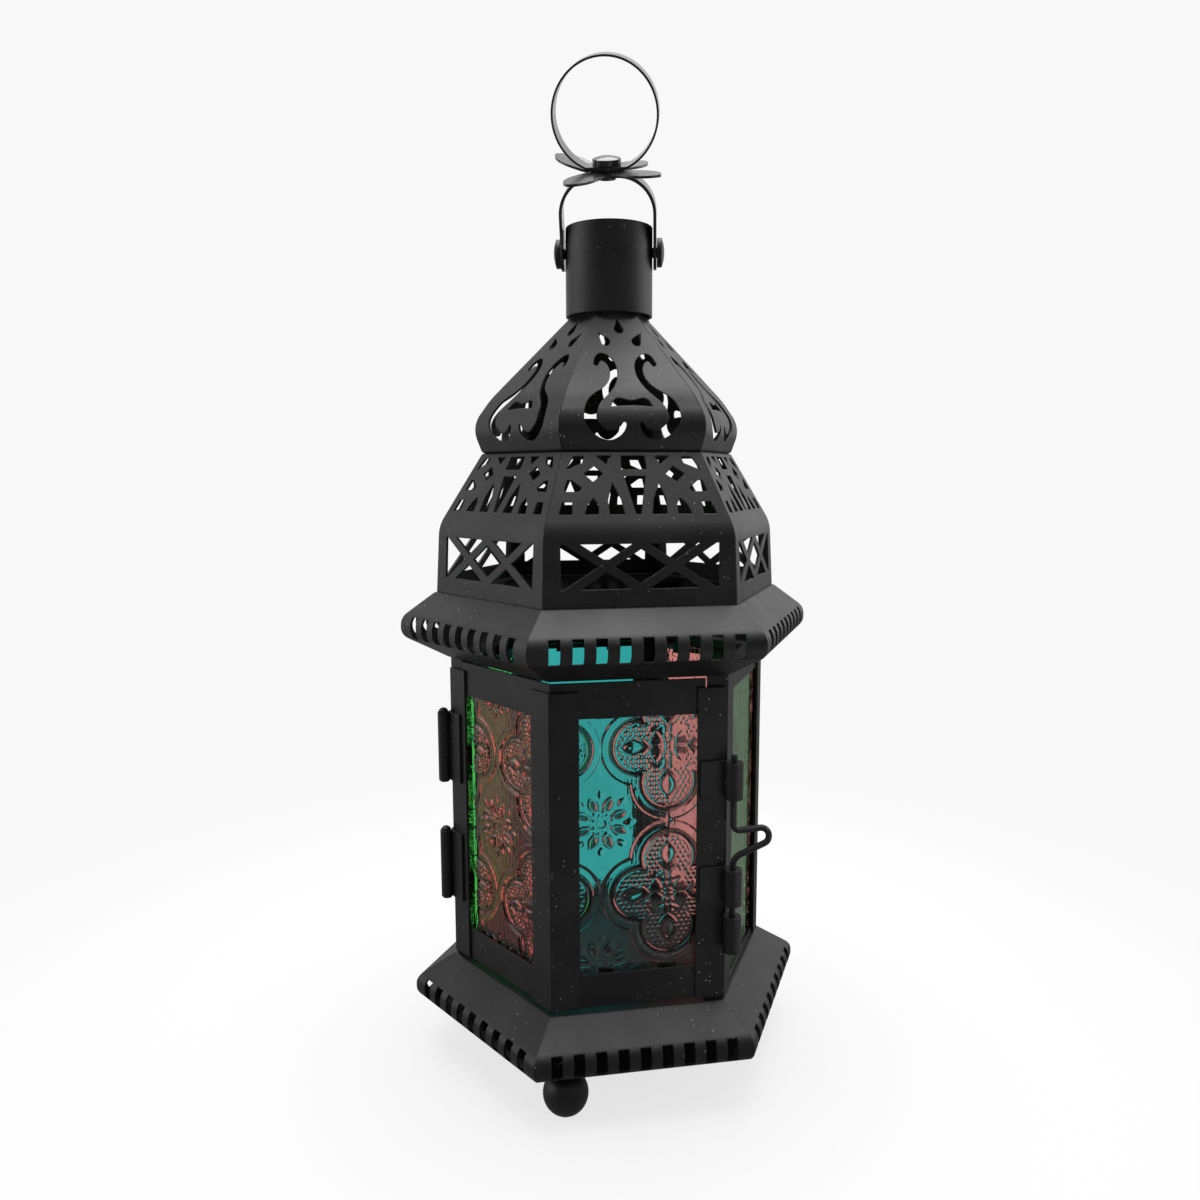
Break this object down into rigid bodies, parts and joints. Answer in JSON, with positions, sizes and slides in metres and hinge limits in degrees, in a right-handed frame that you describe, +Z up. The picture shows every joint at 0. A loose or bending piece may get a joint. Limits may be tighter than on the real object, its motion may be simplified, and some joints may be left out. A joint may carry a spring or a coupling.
{
  "type": "lantern",
  "caption": "Six-sided black sheet-metal candle lantern with embossed coloured glass, folding-corner door on hinges, pierced roof, chimney, swinging bail and hanging ring",
  "frame": {"origin": "middle of the lantern at the level its feet stand on", "axes": "+Z up, -Y out of the front face of the door, +X to the right seen from the front"},
  "size_m": [0.1284, 0.1112, 0.2948],
  "materials": {
    "black_paint": "satin",
    "clear_glass": "embossed",
    "red_glass": "embossed",
    "green_glass": "embossed",
    "teal_glass": "embossed"
  },
  "bodies": {
    "lantern": {"bail_rivets": "black_paint", "base_skirt": "black_paint", "chimney": "black_paint", "dome_panel_back": "black_paint", "dome_panel_back_left": "black_paint", "dome_panel_back_right": "black_paint", "dome_panel_front": "black_paint", "dome_panel_left": "black_paint", "dome_panel_right": "black_paint", "eave_skirt": "black_paint", "floor_plate": "black_paint", "foot_back_left": "black_paint", "foot_front_left": "black_paint", "foot_right": "black_paint", "foot_screws": "black_paint", "glass_clips": "black_paint", "latch_keeper": "black_paint", "lower_band": "black_paint", "lower_hinge_frame_leaf": "black_paint", "lower_hinge_pin": "black_paint", "pane_back": "teal_glass", "pane_back_left": "green_glass", "pane_back_right": "red_glass", "pane_right": "green_glass", "post_back_left": "black_paint", "post_back_right": "black_paint", "post_hinge_side": "black_paint", "post_latch_side": "black_paint", "post_right": "black_paint", "roof_wall_back": "black_paint", "roof_wall_back_left": "black_paint", "roof_wall_back_right": "black_paint", "roof_wall_front": "black_paint", "roof_wall_left": "black_paint", "roof_wall_right": "black_paint", "upper_band": "black_paint", "upper_hinge_frame_leaf": "black_paint", "upper_hinge_pin": "black_paint"},
    "door": {"door_hinge_stile": "black_paint", "door_corner_post": "black_paint", "door_latch_stile": "black_paint", "door_lower_band": "black_paint", "door_upper_band": "black_paint", "pane_left": "red_glass", "pane_front": "clear_glass", "door_glass_clips": "black_paint", "upper_hinge_door_leaf": "black_paint", "lower_hinge_door_leaf": "black_paint", "latch_guide_upper": "black_paint", "latch_guide_lower": "black_paint"},
    "latch": {"latch_bolt": "black_paint"},
    "bail": {"bail": "black_paint", "rosette": "black_paint", "top_rivet": "black_paint"},
    "ring": {"hanging_ring": "black_paint"}
  },
  "joints": [
    {"name": "door_hinge", "type": "hinge", "parent": "lantern", "child": "door", "pos_m": [-0.05208, 0, 0.078], "axis": [0, 0, -1], "range_deg": [0, 120]},
    {"name": "latch_slide", "type": "slide", "parent": "door", "child": "latch", "axis": [0, 0, 1], "range_m": [0, 0.005]},
    {"name": "bail_swing", "type": "hinge", "parent": "lantern", "child": "bail", "pos_m": [0, 0, 0.24575], "axis": [0.9703, -0.2419, 0], "range_deg": [-130, 78]},
    {"name": "ring_swivel", "type": "hinge", "parent": "bail", "child": "ring", "pos_m": [0, 0, 0.24575], "axis": [-0.1061, -0.4253, 0.8988], "continuous": true}
  ]
}
